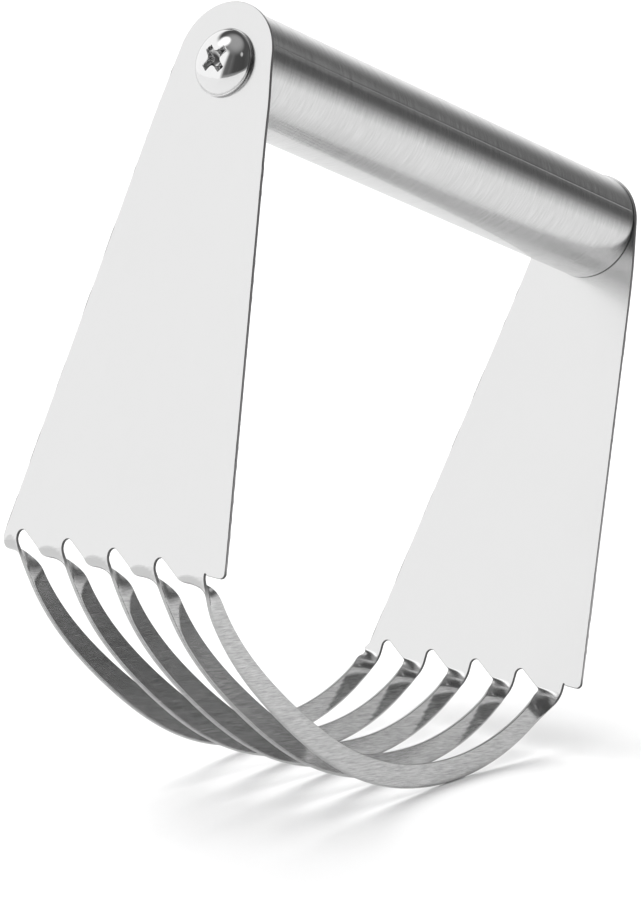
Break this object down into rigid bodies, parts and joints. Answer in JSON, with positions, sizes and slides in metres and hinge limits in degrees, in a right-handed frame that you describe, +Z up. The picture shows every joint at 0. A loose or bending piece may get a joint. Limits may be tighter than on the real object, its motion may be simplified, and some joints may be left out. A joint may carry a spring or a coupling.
{
  "type": "pastry blender",
  "caption": "Hand-held pastry blender: thin curved steel blades run between two tapered side plates, with a round tube handle screwed between the plates.",
  "frame": {"origin": "under the middle of the handle, at the level of the lowest blade edge", "axes": "+X along the handle from the left plate to the right plate, +Y to the back, +Z up from the blades to the handle"},
  "size_m": [0.1186, 0.0517, 0.1241],
  "materials": {
    "sheet_steel": "fine satin brushed stainless sheet with bright cut edges",
    "tube_steel": "stainless tube brushed round its girth, with a closed seam line",
    "plug_aluminium": "turned aluminium",
    "screw_steel": "bright polished steel"
  },
  "bodies": {
    "root": {"blade_frame": "sheet_steel", "handle_tube": "tube_steel", "left_end_plug": "plug_aluminium", "right_end_plug": "plug_aluminium", "left_screw": "screw_steel", "right_screw": "screw_steel"}
  },
  "joints": []
}
